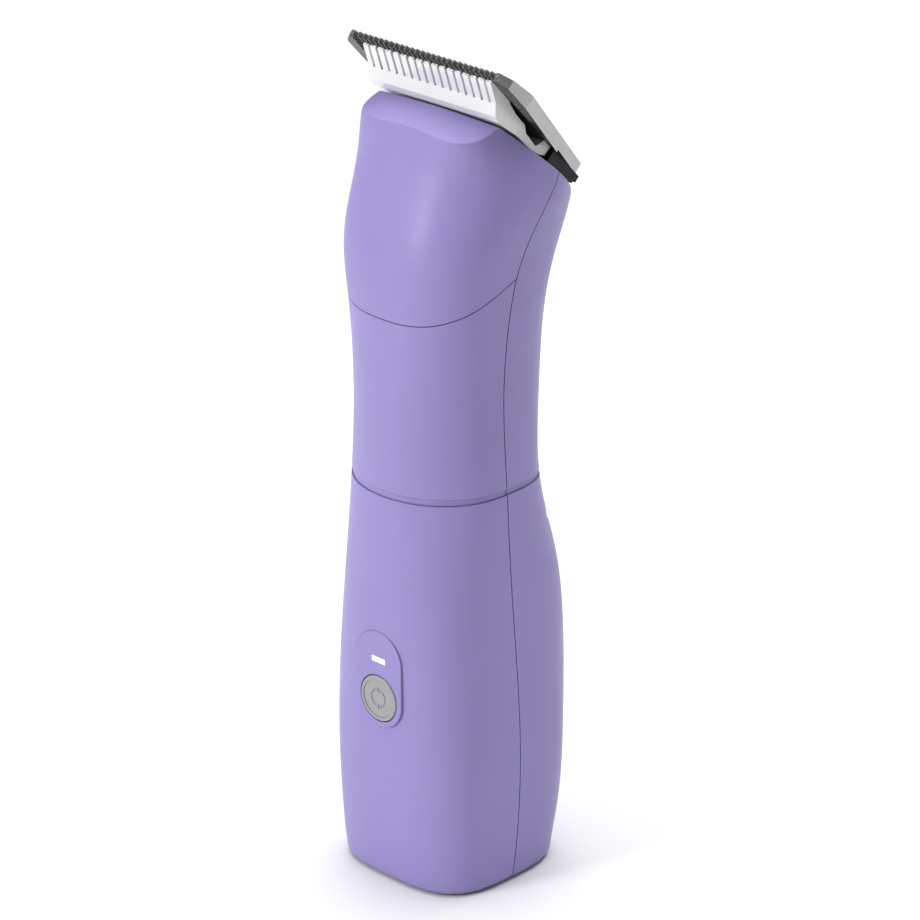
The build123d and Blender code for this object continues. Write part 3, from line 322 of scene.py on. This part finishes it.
MAKERS = {
    "shell_plastic": shell_plastic,
    "inner_plastic": lambda: moulded("dark_inner_plastic", (0.030, 0.030, 0.034), rough=0.5, wear=0.15),
    "button_plastic": lambda: moulded("grey_button_plastic", (0.325, 0.325, 0.345), rough=0.36,
                                      grain=3400.0, depth=0.00001, patch=0.02, wear=0.5,
                                      radius=SHELL_EDGE),
    "lamp": lamp,
    "board": board,
    "switch_body": lambda: moulded("switch_plastic", (0.02, 0.02, 0.022), rough=0.3),
    "spring_steel": lambda: metal("spring_steel", (0.50, 0.51, 0.53), rough=0.28),
    "screw_steel": lambda: metal("screw_steel", (0.42, 0.43, 0.45), rough=0.33),
    "battery_wrap": lambda: moulded("battery_sleeve", (0.02, 0.07, 0.18), rough=0.22, grain=500.0,
                                    coat=0.4),
    "nickel_tab": lambda: metal("nickel_strip", (0.66, 0.63, 0.57), rough=0.30),
    "can_steel": lambda: metal("plated_can", (0.58, 0.58, 0.60), rough=0.24,
                               direction=(1.0, 1.0, 0.1)),
    "copper": lambda: metal("copper_bars", (0.72, 0.36, 0.20), rough=0.3),
    "winding": windings,
    "magnet": lambda: moulded("ferrite", (0.035, 0.034, 0.036), rough=0.6, grain=1200.0,
                              depth=2 * GRAIN_DEPTH),
    "shaft_steel": lambda: metal("ground_shaft", (0.63, 0.63, 0.65), rough=0.16,
                                 direction=(0.2, 0.2, 1.0)),
    "brass_weight": lambda: metal("turned_brass", (0.68, 0.48, 0.20), rough=0.28),
    "lever_plastic": lambda: moulded("acetal", (0.72, 0.70, 0.64), rough=0.34, grain=900.0),
    "frame_metal": lambda: metal("cast_frame", (0.56, 0.57, 0.58), rough=0.42, brush=350.0,
                                 stain=0.16),
    "seal_rubber": lambda: moulded("seal_rubber", (0.020, 0.020, 0.022), rough=0.72, grain=1600.0,
                                   depth=2 * GRAIN_DEPTH),
    "hinge_plate": lambda: metal("nickel_plate", (0.74, 0.74, 0.75), rough=0.12, brush=700.0,
                                 stain=0.05),
    "release_plastic": lambda: moulded("release_plastic", (0.36, 0.31, 0.57), rough=0.36,
                                       patch=0.03),
    "comb_steel": comb_steel,
    "cutter_ceramic": cutter_ceramic,
    "guide_plastic": lambda: moulded("guide_plastic", (0.018, 0.018, 0.020), rough=0.45),
    "bracket_steel": lambda: metal("black_oxide", (0.030, 0.030, 0.033), rough=0.34, stain=0.2,
                                   wear=0.6),
}

LEADS = {
    "battery_leads": ((0.30, 0.015, 0.012), (0.012, 0.012, 0.014)),
    "inlet_leads": ((0.012, 0.012, 0.014), (0.35, 0.30, 0.02)),
    "motor_leads": ((0.02, 0.08, 0.30), (0.30, 0.015, 0.012)),
}

made = {}
for node, obj in NODES.items():
    slot = SLOT_OF[node]
    if node in LEADS:
        material = two_leads("lead_" + node, *LEADS[node]).material
    else:
        if slot not in made:
            made[slot] = MAKERS[slot]().material
        material = made[slot]
    for entry in obj.material_slots:
        entry.material = material
    if not obj.material_slots:
        obj.data.materials.append(material)

# ------------------------------------------------------------------------ floor
floor_mesh = bpy.data.meshes.new("floor")
FLOOR_CORNERS = ((-1, -1), (1, -1), (1, 1), (-1, 1))
floor_mesh.from_pydata([(FLOOR_HALF * x, FLOOR_HALF * y, 0) for x, y in FLOOR_CORNERS], [],
                       [(0, 1, 2, 3)])
floor = bpy.data.objects.new("floor", floor_mesh)
floor.location = (0, 0, CAD_BOX[0][2] - FLOOR_DROP)
bpy.context.collection.objects.link(floor)
g = Graph("pale_floor")
cloud = g.noise(3.0, 3.0)
g.set(Base_Color=g.mix(cloud, (0.90, 0.90, 0.90), (0.93, 0.93, 0.93)))
g.set(Roughness=g.span(cloud, 0.3, 0.7, 0.75, 0.85))
floor_mesh.materials.append(g.material)

# ----------------------------------------------------------------------- lights
world = bpy.data.worlds.new("studio")
bpy.context.scene.world = world
bpy.context.scene.view_settings.view_transform = "Standard"
world.use_nodes = True
background = world.node_tree.nodes["Background"]
background.inputs[0].default_value = (1.0, 1.0, 1.0, 1.0)
background.inputs[1].default_value = WORLD_STRENGTH

MIDDLE = Vector((0, 0, 0.10))


def area(name, place, size, power, aim=MIDDLE):
    data = bpy.data.lights.new(name, "AREA")
    data.shape = "RECTANGLE"
    data.size, data.size_y = size
    data.energy = power
    light = bpy.data.objects.new(name, data)
    light.location = place
    light.rotation_euler = (Vector(aim) - Vector(place)).to_track_quat("-Z", "Y").to_euler()
    bpy.context.collection.objects.link(light)


area("key", (-0.38, -1.12, 0.55), (0.30, 0.9), 8.6)
area("top", (-0.10, 0.20, 1.20), (1.1, 1.1), 17.0)

# ----------------------------------------------------------------------- camera
camera_data = bpy.data.cameras.new("camera")
camera_data.sensor_width = SENSOR_MM
camera_data.lens = FOCAL_LENGTH_MM
camera_data.clip_start = 0.05
camera = bpy.data.objects.new("camera", camera_data)
eye = Vector((0.60884, -0.62633, 0.47532))
target = Vector((0.000676, 0.0030, 0.097324))
camera.location = eye
camera.rotation_euler = (target - eye).to_track_quat("-Z", "Y").to_euler()
bpy.context.collection.objects.link(camera)
bpy.context.scene.camera = camera
